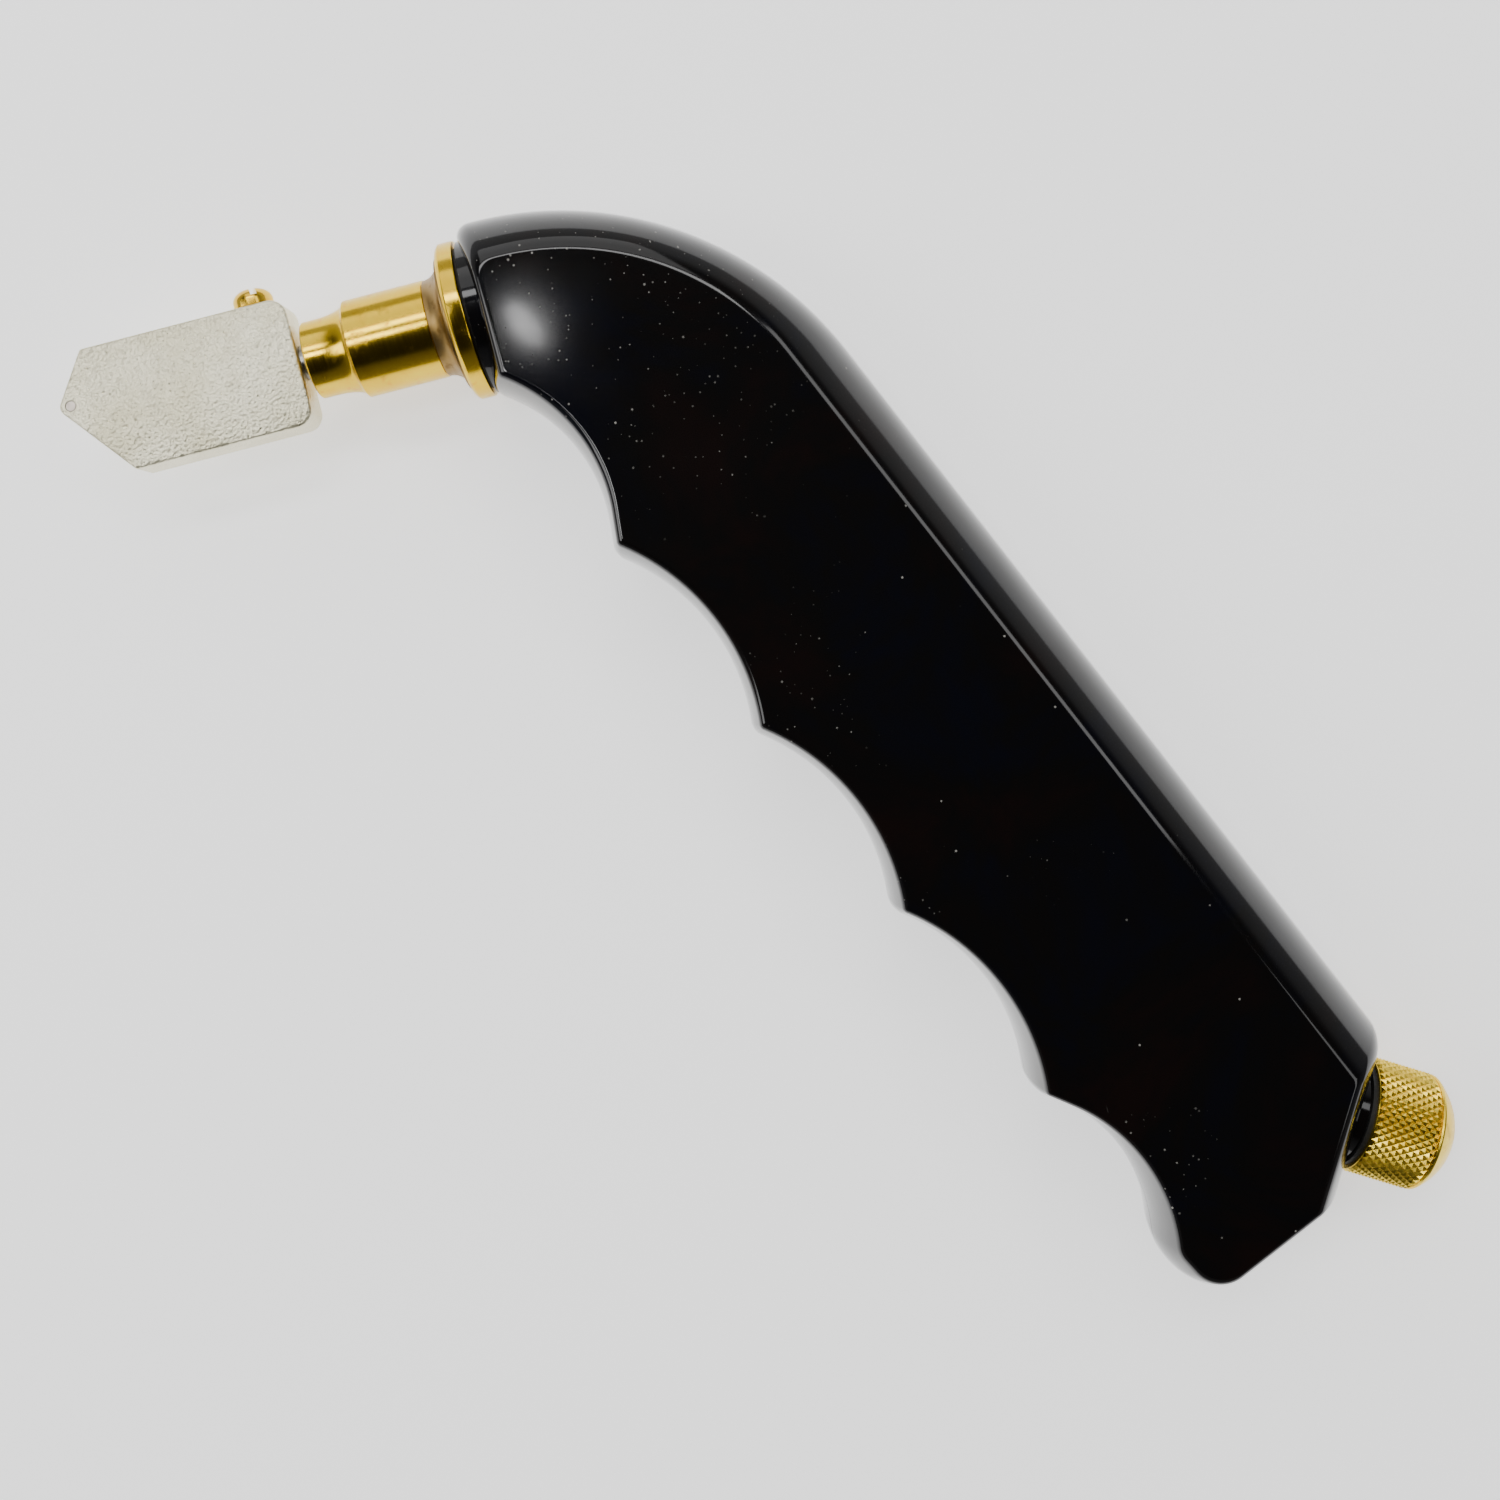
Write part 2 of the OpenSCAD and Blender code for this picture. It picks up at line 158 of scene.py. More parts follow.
def makeBrass(name, colour, rough, turned=True, tarnish=0.5):
    s = Shader(name, {"Base Color": colour, "Metallic": 1.0, "Roughness": rough})
    where = s.place()
    cloud = s.noise(where, 260, 4, 0.6, 0.6)
    spots = s.level(s.noise(where, 600, 3, 0.6), 0.58, 0.72)
    deep = (colour[0] * 0.62, colour[1] * 0.56, colour[2] * 0.5, 1)
    pale = (min(1, colour[0] * 1.05), min(1, colour[1] * 1.12), colour[2] * 1.5, 1)
    base = s.mix(s.level(cloud, 0.35, 0.62), pale, colour)
    s.feed("Base Color", s.mix(spots * tarnish + s.level(cloud, 0.6, 0.8) * tarnish * 0.5, base, deep))
    if turned:
        rings = s.noise(s.place((60, 1, 1)), 260, 3, 0.7)  # fine tool marks around the neck axis
        s.feed("Roughness", s.level(rings, 0.3, 0.7, rough * 0.75, rough * 1.3) + spots * 0.1)
        s.feed("Normal", s.bump(rings, 0.000012, 0.4))
    else:
        s.feed("Roughness", s.level(cloud, 0.3, 0.7, rough * 0.8, rough * 1.3) + spots * 0.12)
        s.feed("Normal", s.bump(s.noise(where, 1400, 3), 0.00001, 0.35))
    return s.material


def makeHeadSteel():
    s = Shader("satinNickel", {"Base Color": (0.82, 0.77, 0.56, 1), "Metallic": 1.0, "Roughness": 0.36})
    where = s.place()
    pebbles = s.cells(where, 3000, "SMOOTH_F1")
    grain = s.noise(where, 2900, 3, 0.65)
    patches = s.noise(where, 150, 3, 0.6)
    base = s.mix(s.level(patches, 0.3, 0.7), (0.74, 0.69, 0.48, 1), (0.9, 0.86, 0.66, 1))
    s.feed("Base Color", s.mix(s.level(grain, 0.3, 0.45, 0.5, 0), base, (0.46, 0.42, 0.27, 1)))
    s.feed("Roughness", s.level(grain, 0.3, 0.7, 0.26, 0.46))
    s.feed("Normal", s.bump(pebbles * 0.7 + grain * 0.8, 0.00015, 0.9))
    return s.material


def makeSteel(name, level, rough, streaks=(60, 1, 1), warm=0.02):
    s = Shader(name, {"Base Color": grey(level, warm), "Metallic": 1.0, "Roughness": rough})
    lines = s.noise(s.place(streaks), 300, 3, 0.7)
    stain = s.level(s.noise(s.place(), 400, 3, 0.6), 0.5, 0.7)
    s.feed("Base Color", s.mix(stain, grey(level, warm), grey(level * 0.7, warm + 0.04)))
    s.feed("Roughness", s.level(lines, 0.3, 0.7, rough * 0.7, rough * 1.4))
    s.feed("Normal", s.bump(lines, 0.00001, 0.4))
    return s.material


def makeRubber():
    s = Shader("sealRubber", {"Base Color": (0.012, 0.012, 0.012, 1), "Roughness": 0.6})
    grain = s.noise(s.place(), 2500, 4, 0.6)
    s.feed("Base Color", s.mix(grain, (0.008, 0.008, 0.008, 1), (0.022, 0.021, 0.02, 1)))
    s.feed("Roughness", s.level(grain, 0.3, 0.7, 0.5, 0.75))
    s.feed("Normal", s.bump(grain, 0.00002, 0.5))
    return s.material


def makeFelt():
    s = Shader("oilFelt", {"Base Color": (0.7, 0.66, 0.55, 1), "Roughness": 0.95})
    fibres = s.noise(s.place((1, 4, 4)), 1500, 5, 0.8, 1.5)
    s.feed("Base Color", s.mix(fibres, (0.45, 0.4, 0.28, 1), (0.82, 0.78, 0.68, 1)))
    s.feed("Normal", s.bump(fibres, 0.00015, 0.8))
    return s.material


glossPlastic = makeGlossPlastic()
turnedBrass = makeBrass("turnedBrass", (0.76, 0.48, 0.024, 1), 0.17)
# dull brass whose dark base colour is painted shade for the hollow between the neck's body and flange, with
# tarnish mottling on top
tarnishAndPaintedShadeBrass = makeBrass("tarnishAndPaintedShadeBrass", (0.3, 0.19, 0.06, 1), 0.38, tarnish=0.9)
capBrass = makeBrass("capBrass", (0.86, 0.59, 0.05, 1), 0.26, turned=False, tarnish=0.35)
satinNickel = makeHeadSteel()
stemSteel = makeSteel("stemSteel", 0.36, 0.3)
springSteel = makeSteel("springSteel", 0.55, 0.25, (1, 1, 1))
pinSteel = makeSteel("pinSteel", 0.6, 0.38, (1, 1, 1), 0.12)
carbide = makeSteel("wheelCarbide", 0.3, 0.3, (1, 1, 1))
sealRubber = makeRubber()
oilFelt = makeFelt()
print("materials ready")


# pieces are modelled in mm, in the model's own frame

def clearSelection():
    if bpy.context.object and bpy.context.object.mode != "OBJECT":
        bpy.ops.object.mode_set(mode="OBJECT")
    bpy.ops.object.select_all(action="DESELECT")


def useOnly(piece):
    clearSelection()
    piece.select_set(True)
    bpy.context.view_layer.objects.active = piece


def startPiece(name, firstRing):
    # a filled circle whose corners are moved to the first ring
    clearSelection()
    bpy.ops.mesh.primitive_circle_add(vertices=len(firstRing), radius=mm, fill_type="NGON")
    piece = bpy.context.object
    piece.name = name
    piece.data.name = name
    for corner, spot in zip(piece.data.vertices, firstRing):
        corner.co = Vector(spot) * mm
    return piece


def growRings(name, rings):
    # extrudes the ring's face once for each further ring, and moves it there
    piece = startPiece(name, rings[0])
    bpy.ops.object.mode_set(mode="EDIT")
    bpy.ops.mesh.select_mode(type="FACE")
    bpy.ops.mesh.select_all(action="SELECT")
    last = [Vector(p) * mm for p in rings[0]]
    for ring in rings[1:]:
        bpy.ops.mesh.extrude_region_move(TRANSFORM_OT_translate={"value": (0, 0, 0)})
        shape = bmesh.from_edit_mesh(piece.data)
        face = next(f for f in shape.faces if f.select)
        corners = [loop.vert for loop in face.loops]
        start = min(range(len(corners)), key=lambda i: (corners[i].co - last[0]).length)
        gapAhead = (corners[(start + 1) % len(corners)].co - last[1]).length
        gapBack = (corners[start - 1].co - last[1]).length
        step = 1 if gapAhead < gapBack else -1
        last = [Vector(p) * mm for p in ring]
        for i, spot in enumerate(last):
            corners[(start + step * i) % len(corners)].co = spot
        bmesh.update_edit_mesh(piece.data)
    bpy.ops.mesh.select_all(action="SELECT")
    bpy.ops.mesh.normals_make_consistent(inside=False)
    bpy.ops.object.mode_set(mode="OBJECT")
    return piece


def turnedPiece(name, profile, steps):
    # spins a profile of (distance along the axis, radius) about the X axis
    # a profile that doesn't start on the axis is closed into a loop first
    clearSelection()
    bpy.ops.mesh.primitive_plane_add(size=mm)
    piece = bpy.context.object
    piece.name = name
    piece.data.name = name
    bpy.ops.object.mode_set(mode="EDIT")
    bpy.ops.mesh.select_mode(type="VERT")
    bpy.ops.mesh.select_all(action="SELECT")
    bpy.ops.mesh.merge(type="CENTER")
    shape = bmesh.from_edit_mesh(piece.data)
    shape.verts.ensure_lookup_table()
    shape.verts[0].co = Vector((profile[0][0], profile[0][1], 0)) * mm
    bmesh.update_edit_mesh(piece.data)
    for before, after in zip(profile, profile[1:]):
        move = (Vector((after[0], after[1], 0)) - Vector((before[0], before[1], 0))) * mm
        bpy.ops.mesh.extrude_region_move(TRANSFORM_OT_translate={"value": move})
    if profile[0][1] > 0:
        bpy.ops.mesh.select_all(action="DESELECT")
        shape = bmesh.from_edit_mesh(piece.data)
        shape.verts.ensure_lookup_table()
        shape.verts[0].select = True
        shape.verts[-1].select = True
        bpy.ops.mesh.edge_face_add()
    bpy.ops.mesh.select_all(action="SELECT")
    bpy.ops.mesh.spin(steps=steps, angle=2 * math.pi, center=(0, 0, 0), axis=(1, 0, 0))
    bpy.ops.mesh.select_all(action="SELECT")
    bpy.ops.mesh.remove_doubles(threshold=2e-7)
    bpy.ops.mesh.normals_make_consistent(inside=False)
    bpy.ops.object.mode_set(mode="OBJECT")
    return piece


def cornerArc(here, back, ahead, radius, steps):
    # points on the round of the corner at here, which has its neighbours in the ways back and ahead
    half = back.angle(ahead) / 2
    back, ahead = back.normalized(), ahead.normalized()
    centre = here + (back + ahead).normalized() * radius / math.sin(half)
    a = here + back * radius / math.tan(half) - centre
    b = here + ahead * radius / math.tan(half) - centre
    sweep = math.pi - 2 * half
    points = []
    for k in range(steps + 1):
        w = k / steps
        points.append(centre + (a * math.sin(sweep * (1 - w)) + b * math.sin(sweep * w)) / math.sin(sweep))
    return points


def putMesh(piece, matrix):
    piece.data.transform(matrix)
    piece.data.update()


def cutAway(piece, cutters, solver="EXACT"):
    for cutter in cutters:
        useOnly(piece)
        knife = piece.modifiers.new("cut", "BOOLEAN")
        knife.operation = "DIFFERENCE"
        knife.solver = solver
        knife.object = cutter
        bpy.ops.object.modifier_apply(modifier=knife.name)
        bpy.data.objects.remove(cutter)


def blockCutter(low, high):
    clearSelection()
    bpy.ops.mesh.primitive_cube_add(size=1)
    cutter = bpy.context.object
    low, high = Vector(low) * mm, Vector(high) * mm
    putMesh(cutter, Matrix.Translation((low + high) / 2) @ Matrix.Diagonal((*(high - low), 1)))
    return cutter


def rodCutter(radius, start, end, steps=64):
    clearSelection()
    start, end = Vector(start) * mm, Vector(end) * mm
    bpy.ops.mesh.primitive_cylinder_add(vertices=steps, radius=radius * mm, depth=(end - start).length)
    cutter = bpy.context.object
    turn = (end - start).to_track_quat("Z", "Y").to_matrix().to_4x4()
    putMesh(cutter, Matrix.Translation((start + end) / 2) @ turn)
    return cutter


def finishPiece(piece, body, materials, replaced, angle=30):
    useOnly(piece)
    bpy.ops.object.shade_smooth_by_angle(angle=math.radians(angle))
    piece.data.materials.clear()
    for material in materials:
        piece.data.materials.append(material)
    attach(piece, body)
    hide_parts(*replaced)


# the handle is two moulded shells that meet at the middle of the thickness

handle = {
    "gripAngle": 66.6,
    "pitch": 23.33,
    "ridgeLine": -16.36,
    "grooveReach": 6.44,
    "grooveRadius": 22.0,
    "spineLine": 16.0,
    "browRadius": 38.0,
    "frontTop": 9.6,
    "front": -13.46,
    "gripEnd": 121.6,
    "spineCrown": 5.7,
    "fingerCrown": 1.1,
    "endCrown": 2.0,
    "facetCrown": 3.3,
    "edgeRound": 0.48,  # height of the round on the crease, where the crown meets the flat side
    "edgeWidth": 1.15,  # its width, as a share of the height
    "edgeStart": 20,  # degrees, the slope at which the round begins
    "edgeSteps": 6,
    "crownRises": (1.0, 2.0, 3.0, 4.0, 5.0, 5.8, 6.5, 7.1, 7.6, 8.0),  # heights of the rings on the crown
    "seam": 0.05,  # half width of the fine groove along the seam
    "neckSeat": (-13.5, -10.5, 8.1),  # from, to and radius
    "neckBore": (-15, -4.5, 6.0),
    "oilBore": (-5, 8, 3.5),
    "capSeat": (0, 4, 5.15),  # from, to and radius, going in along the cap's axis
    "capBore": (-2, 9, 5.0),
    "fillerBore": (8, 17, 3.5),
}
reservoir = {
    "start": 5.5,
    "end": 106,
    "fromRidge": 7.1,
    "fromSpine": 4.5,
    "sections": ((0, 6, -0.5), (0, 6, 4.2), (0.6, 5.4, 5.6), (2, 4, 6.2)),  # inset, corner radius and rise
}
capAngle = math.radians(-31.5)
capBase = Vector((54.29, -103.89, midZ))
capDirection = Vector((math.cos(capAngle), math.sin(capAngle), 0))


def onGrip(along, across):
    a = math.radians(handle["gripAngle"])
    x = along * math.cos(a) + across * math.sin(a)
    y = -along * math.sin(a) + across * math.cos(a)
    return Vector((x, y))


def lineMeet(p, d, q, e):
    return p + d * ((q - p).cross(e) / d.cross(e))


def handleCorners():
    # [point, radius at mid-thickness, radius at the crease, steps, crown of the next edge]
    h = handle
    finger = h["fingerCrown"]
    facetPoint = capBase.to_2d() - capDirection.to_2d() * 0.04
    facetWay = Vector((-capDirection.y, capDirection.x))
    endPoint, across = onGrip(h["gripEnd"], 0), onGrip(0, 1)
    spinePoint, along = onGrip(0, h["spineLine"]), onGrip(1, 0)

    def ridge(n):
        return [onGrip(n * h["pitch"], h["ridgeLine"]), 1.8, 0.5, 10, finger]

    def groove(n, smaller=0.0, grow=1.4):
        radius = h["grooveRadius"] - smaller
        point = onGrip((n - 0.5) * h["pitch"], h["ridgeLine"] + h["grooveReach"])
        return [point, radius, radius + grow, 28, finger]

    rows = [[Vector((h["front"], h["frontTop"])), 1.5, 1.8, 12, 1.7],
            [Vector((h["front"], -8.2)), 1.0, 0.6, 8, finger],
            groove(1, 4.2, -0.4), ridge(1)]
    for n in (2, 3, 4):
        rows += [groove(n), ridge(n)]
    rows += [[onGrip(104.6, h["ridgeLine"] + 6.2), 18, 17.4, 28, finger],
             [onGrip(115.2, h["ridgeLine"]), 5, 2.4, 8, 2.0],
             [onGrip(h["gripEnd"], h["ridgeLine"] + 0.5), 5.2, 3.2, 18, h["endCrown"]],
             [lineMeet(facetPoint, facetWay, endPoint, across), 3, 1, 8, h["facetCrown"]],
             [lineMeet(facetPoint, facetWay, spinePoint, along), 3.5, 1, 14, h["spineCrown"]],
             [lineMeet(spinePoint, along, Vector((0, h["frontTop"])), Vector((1, 0))), h["browRadius"],
              h["browRadius"] - 9.8, 70, h["spineCrown"]]]
    return rows


def handleRing(rows, rise, extra, z):
    # outline of the handle at a distance from mid-thickness, moved in by extra
    def fall(crown):
        r = (midZ * midZ + crown * crown) / (2 * crown)
        return r - math.sqrt(max(0, r * r - rise * rise))

    count = len(rows)
    moved = []
    for i in range(count):
        a, b, c = rows[i - 1], rows[i], rows[(i + 1) % count]
        d1, d2 = (b[0] - a[0]).normalized(), (c[0] - b[0]).normalized()
        left1, left2 = Vector((-d1.y, d1.x)), Vector((-d2.y, d2.x))
        p1 = b[0] + left1 * (fall(a[4]) + extra)
        p2 = b[0] + left2 * (fall(b[4]) + extra)
        moved.append(lineMeet(p1, d1, p2, d2))
    points = []
    for i in range(count):
        back = moved[i - 1] - moved[i]
        ahead = moved[(i + 1) % count] - moved[i]
        radius = rows[i][1] + (rows[i][2] - rows[i][1]) * (rise / midZ) ** 2
        points += [(p.x, p.y, z) for p in cornerArc(moved[i], back, ahead, radius, rows[i][3])]
    return points


def neckRod(sizes, steps=64):
    start, end, radius = sizes
    return rodCutter(radius, (start, 0, midZ), (end, 0, midZ), steps)


def capRod(sizes, steps=64):
    start, end, radius = sizes
    return rodCutter(radius, capBase - capDirection * start, capBase - capDirection * end, steps)


def joinSeat(piece, seat, side):
    # keeps the half of the seat on this shell's side of the seam, and adds it to the shell
    low, high = (-40, -150, midZ + handle["seam"]), (90, 40, 30)
    if side < 0:
        low, high = (-40, -150, -20), (90, 40, midZ - handle["seam"])
    keep = blockCutter(low, high)
    for target, tool, operation in ((seat, keep, "INTERSECT"), (piece, seat, "UNION")):
        useOnly(target)
        change = target.modifiers.new("seat", "BOOLEAN")
        change.operation = operation
        change.solver = "EXACT"
        change.object = tool
        bpy.ops.object.modifier_apply(modifier=change.name)
        bpy.data.objects.remove(tool)


def handleShell(name, side, node):
    h = handle
    rows = handleCorners()
    e = h["edgeRound"]
    levels = [(0.0, h["seam"] * 1.6), (h["seam"], 0.0)]
    levels += [(r, 0.0) for r in (*h["crownRises"], midZ - e)]
    start = math.radians(h["edgeStart"])
    for k in range(1, h["edgeSteps"] + 1):
        w = math.radians(h["edgeStart"] + (90 - h["edgeStart"]) * k / h["edgeSteps"])
        rise = midZ - e + e * (math.sin(w) - math.sin(start)) / (1 - math.sin(start))
        levels.append((rise, e * h["edgeWidth"] * (math.cos(start) - math.cos(w))))
    rings = [handleRing(rows, rise, extra, midZ + side * rise) for rise, extra in levels]
    piece = growRings(name, rings)
    joinSeat(piece, neckRod(h["neckSeat"], 96), side)
    joinSeat(piece, capRod(h["capSeat"], 96), side)
    cutAway(piece, [
        neckRod(h["neckBore"]),
        neckRod(h["oilBore"]),
        capRod(h["capBore"]),
        capRod(h["fillerBore"]),
        reservoirCutter(side)], "MANIFOLD")
    evenSide(piece, midZ + side * midZ)
    finishPiece(piece, "handle", [glossPlastic], [node], 22)


def evenSide(piece, height):
    # the flat side becomes one face, with a narrow flat border that keeps its shading even
    useOnly(piece)
    bpy.ops.object.mode_set(mode="EDIT")
    bpy.ops.mesh.select_mode(type="FACE")
    bpy.ops.mesh.select_all(action="DESELECT")
    shape = bmesh.from_edit_mesh(piece.data)
    for face in shape.faces:
        face.select = all(abs(v.co.z / mm - height) < 1e-3 for v in face.verts)
    bmesh.update_edit_mesh(piece.data)
    bpy.ops.mesh.dissolve_faces()
    bpy.ops.mesh.inset(thickness=0.2 * mm)
    bpy.ops.object.mode_set(mode="OBJECT")


def reservoirCutter(side):
    start, end = reservoir["start"], reservoir["end"]
    low = handle["ridgeLine"] + reservoir["fromRidge"]
    high = handle["spineLine"] - reservoir["fromSpine"]

    def ring(inset, radius, rise):
        corners = [(start + inset, low + inset), (end - inset, low + inset),
                   (end - inset, high - inset), (start + inset, high - inset)]
        spots = []
        for i, (along, across) in enumerate(corners):
            centreAlong = along + (radius if i in (0, 3) else -radius)
            centreAcross = across + (radius if i in (0, 1) else -radius)
            for k in range(9):
                w = math.radians(180 + 90 * i + 90 * k / 8)
                p = onGrip(centreAlong + radius * math.cos(w), centreAcross + radius * math.sin(w))
                spots.append((p.x, p.y, midZ + side * rise))
        return spots

    return growRings("reservoirCutter", [ring(*section) for section in reservoir["sections"]])


handleShell("handleFrontShell", 1, "handle_left_shell")
handleShell("handleBackShell", -1, "handle_right_shell")
print("handle shells done")


# the neck is one brass turning with a flange and a threaded tail

neck = {
    "noseFront": -31.5,
    "noseRadius": 4.1,
    "flareFront": -30.1,
    "bodyFront": -26.7,
    "bodyRear": -18.0,
    "bodyRadius": 5.18,
    "filletEnd": -16.1,
    "filletRadius": 7.0,
    "flangeFront": -15.72,
    "flangeRear": -13.8,
    "flangeRadius": 8.3,
    "tailRadius": 4.5,
    "tailEnd": -5.0,
    "threadPitch": 1.0,
    "threadFront": -13.0,
    "threadDepth": 0.55,
    "guideRadius": 1.9,
    "chamberRadius": 3.2,
    "chamberFront": -26.0,
    "sealFront": -29.6,
    "sealRear": -28.4,
    "sealRadius": 2.9,
}


def neckProfile():
    n = neck
    flange, root = n["flangeRadius"], n["tailRadius"] - n["threadDepth"]
    outer = [(n["noseFront"], n["guideRadius"] + 0.25), (n["noseFront"], n["noseRadius"] - 0.15),
             (n["noseFront"] + 0.15, n["noseRadius"]), (n["flareFront"], n["noseRadius"])]
    flare = []
    for k in range(1, 13):  # hollow flare from the nose to the body
        w = math.radians(90 * k / 13)
        x = n["flareFront"] + (n["bodyFront"] - n["flareFront"]) * math.sin(w)
        flare.append((x, n["noseRadius"] + (n["bodyRadius"] - 0.12 - n["noseRadius"]) * (1 - math.cos(w))))
    body = [(n["bodyFront"], n["bodyRadius"] - 0.12), (n["bodyFront"] + 0.12, n["bodyRadius"]),
            (n["bodyRear"] - 0.1, n["bodyRadius"])]
    fillet = []
    for k in range(13):  # hollow between the body and the flange
        w = math.radians(90 * k / 12)
        x = n["bodyRear"] + (n["filletEnd"] - n["bodyRear"]) * math.sin(w)
        rise = (n["filletRadius"] - n["bodyRadius"] + 0.1) * (1 - math.cos(w))
        fillet.append((x, n["bodyRadius"] - 0.1 + rise))
    collar = [(n["filletEnd"] + 0.15, n["filletRadius"]), (n["filletEnd"] + 0.15, n["filletRadius"] + 0.12),
              (n["flangeFront"], n["filletRadius"] + 0.2), (n["flangeFront"], flange - 0.38),
              (n["flangeFront"] + 0.06, flange - 0.3), (n["flangeFront"] + 0.3, flange - 0.05),
              (n["flangeFront"] + 0.4, flange), (n["flangeRear"] - 0.2, flange),
              (n["flangeRear"] - 0.06, flange - 0.06), (n["flangeRear"], flange - 0.2),
              (n["flangeRear"], n["tailRadius"] - 0.3), (n["threadFront"], n["tailRadius"] - 0.3)]
    tail = []
    x = n["threadFront"]
    while x < n["tailEnd"] - 0.9:  # thread crests and roots, as rings
        tail += [(x + 0.15, root), (x + 0.45, n["tailRadius"]), (x + 0.6, n["tailRadius"]), (x + 0.9, root)]
        x += n["threadPitch"]
    inner = [(n["tailEnd"], n["tailRadius"] - 0.8), (n["tailEnd"], n["chamberRadius"]),
             (n["chamberFront"], n["chamberRadius"]), (n["chamberFront"], n["guideRadius"]),
             (n["sealRear"], n["guideRadius"]), (n["sealRear"], n["sealRadius"]),
             (n["sealFront"], n["sealRadius"]), (n["sealFront"], n["guideRadius"]),
             (n["noseFront"] + 0.25, n["guideRadius"])]
    return outer + flare + body + fillet + collar + tail + inner


neckTurning = turnedPiece("neckTurning", neckProfile(), 128)
putMesh(neckTurning, Matrix.Translation((0, 0, midZ * mm)))
finishPiece(neckTurning, "handle", [turnedBrass, tarnishAndPaintedShadeBrass], ["neck"], 25)
for face in neckTurning.data.polygons:  # the hollow between body and flange gets a dull, darker brass: its dark colour is painted shade in the recess, with tarnish mottling on it
    x = face.center.x / mm
    r = math.hypot(face.center.y, face.center.z - midZ * mm) / mm
    if neck["bodyRear"] + 0.05 < x < neck["flangeFront"] + 0.02 and 5.0 < r < 7.9:
        face.material_index = 1
print("neck done")


# the head is a flat steel block with two bevels that meet at the wheel

head = {
    "rear": -32.4,
    "halfWidth": 6.8,
    "thickness": 4.9,
    "topCorner": -54.2,
    "bottomCorner": -51.6,
    "tip": (-57.95, 1.2),
    "edgeRound": 0.3,
    "slot": 0.9,
    "socket": (-40, 1.75),  # where it ends, and its radius
    "oilWay": (-55.5, 0.6),
    "screwHole": (-36, 1.3),  # where it is, and its radius
    "axle": (-56.5, 1.25),
    "axleRadius": 0.55,
    "wheelRadius": 1.5,
}


def roundedOutline(corners, z):
    out = []
    for i, (point, radius, steps) in enumerate(corners):
        here = Vector(point)
        back = Vector(corners[i - 1][0]) - here
        ahead = Vector(corners[(i + 1) % len(corners)][0]) - here
        out += [(p.x, p.y, z) for p in cornerArc(here, back, ahead, radius, steps)]
    return out


def makeHead():
    h = head
    low, high = midZ - h["thickness"] / 2, midZ + h["thickness"] / 2
    corners = [((h["rear"], h["halfWidth"]), 1.8, 12), ((h["topCorner"], h["halfWidth"]), 0.5, 5),
               (h["tip"], 1.0, 10), ((h["bottomCorner"], -h["halfWidth"]), 0.5, 5),
               ((h["rear"], -h["halfWidth"]), 1.8, 12)]
    piece = growRings("headBlock", [roundedOutline(corners, low), roundedOutline(corners, high)])
    # both rims get a small round, then the slot, socket and screw hole are cut
    useOnly(piece)
    bpy.ops.object.mode_set(mode="EDIT")
    bpy.ops.mesh.select_mode(type="EDGE")
    bpy.ops.mesh.select_all(action="DESELECT")
    shape = bmesh.from_edit_mesh(piece.data)
    for edge in shape.edges:
        za, zb = (v.co.z / mm for v in edge.verts)
        edge.select = abs(za - zb) < 1e-4 and len(edge.link_faces) == 2
    bmesh.update_edit_mesh(piece.data)
    bpy.ops.mesh.bevel(offset=h["edgeRound"] * mm, segments=4, profile=0.5, affect="EDGES")
    bpy.ops.object.mode_set(mode="OBJECT")
    axleX, axleY = h["axle"]
    socketEnd, socketRadius = h["socket"]
    oilEnd, oilRadius = h["oilWay"]
    screwX, screwRadius = h["screwHole"]
    slotEnd = axleX + h["wheelRadius"] + 0.3
    cutAway(piece, [
        blockCutter((-60, -10, midZ - h["slot"] / 2), (slotEnd, 10, midZ + h["slot"] / 2)),
        rodCutter(socketRadius, (socketEnd, 0, midZ), (h["rear"] + 1, 0, midZ)),
        rodCutter(oilRadius, (oilEnd, 0, midZ), (socketEnd + 1, 0, midZ), 32),
        rodCutter(screwRadius, (screwX, 1, midZ), (screwX, 10, midZ)),
        rodCutter(h["axleRadius"] + 0.03, (axleX, axleY, low - 1), (axleX, axleY, high + 1), 48)])
    finishPiece(piece, "head", [satinNickel], ["head_body"])


makeHead()


def onAxle():
    x, y = head["axle"]
    return Matrix.Translation((x * mm, y * mm, midZ * mm)) @ Matrix.Rotation(-math.pi / 2, 4, "Y")


def makeAxle():
    h = head
    half = h["thickness"] / 2 - 0.02
    corners = [Vector(p) for p in ((-half, 0), (-half, h["axleRadius"]), (half, h["axleRadius"]), (half, 0))]
    profile = [(-half, 0)]
    for i in (1, 2):  # both ends have a small round
        back, ahead = corners[i - 1] - corners[i], corners[i + 1] - corners[i]
        profile += [(p.x, p.y) for p in cornerArc(corners[i], back, ahead, 0.08, 3)]
    profile.append((half, 0))
    piece = turnedPiece("wheelPin", profile, 48)
    putMesh(piece, onAxle())
    finishPiece(piece, "head", [pinSteel], ["wheel_axle"])


makeAxle()


def makeWheel():
    r = head["wheelRadius"]
    profile = [(-0.4, 0.58), (-0.4, r - 0.24), (-0.37, r - 0.21), (-0.02, r - 0.005), (0.02, r - 0.005),
               (0.37, r - 0.21), (0.4, r - 0.24), (0.4, 0.58)]
    piece = turnedPiece("scoringWheel", profile, 96)
    putMesh(piece, onAxle())
    finishPiece(piece, "wheel", [carbide], ["cutting_wheel"])


makeWheel()


screw = {
    "place": (-36.0, 6.82, 9.0),
    "headRadius": 2.1,
    "rim": 0.75,
    "dome": 1.33,
    "slotWidth": 0.62,
    "slotDepth": 1.0,
    "slotTurn": 20,  # degrees
    "rootRadius": 1.02,
    "crestRadius": 1.24,
    "threadStart": -4.5,
    "threadEnd": -0.6,
    "threadPitch": 0.45,
}


